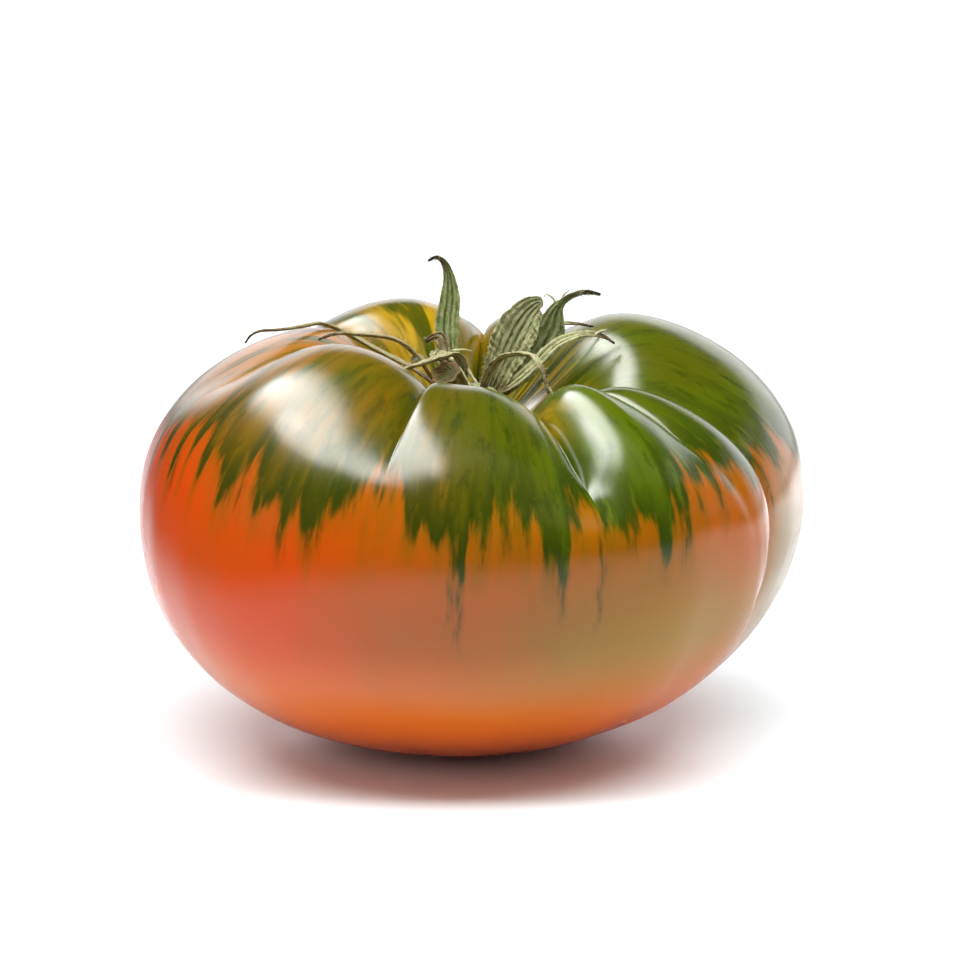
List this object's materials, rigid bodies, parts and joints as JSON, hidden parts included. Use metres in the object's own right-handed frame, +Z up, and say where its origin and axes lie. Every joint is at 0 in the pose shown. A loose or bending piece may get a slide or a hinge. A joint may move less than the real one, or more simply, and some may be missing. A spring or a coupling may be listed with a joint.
{
  "type": "raf tomato",
  "caption": "Ripening ribbed tomato with a sunk crown, dried calyx and stalk stub, resting on a small flat spot.",
  "frame": {"origin": "centre of the bounding box at its base, on the surface that the tomato rests on", "axes": "+Z up, +X to the right of the picture's view and along the widest way across, +Y away from the viewer"},
  "size_m": [0.0928, 0.0852, 0.0674],
  "materials": {
    "fruit_skin": "waxy, glossy skin, olive and green on the shoulders and orange to salmon below, with green streaks between",
    "sepal_green": "dry, ridged, sage green fading to beige, with brown tips",
    "stalk_olive": "dull olive with a brown rim and a fibrous broken end"
  },
  "bodies": {
    "root": {"fruit": "fruit_skin", "calyx": "sepal_green", "stalk": "stalk_olive"}
  },
  "joints": []
}
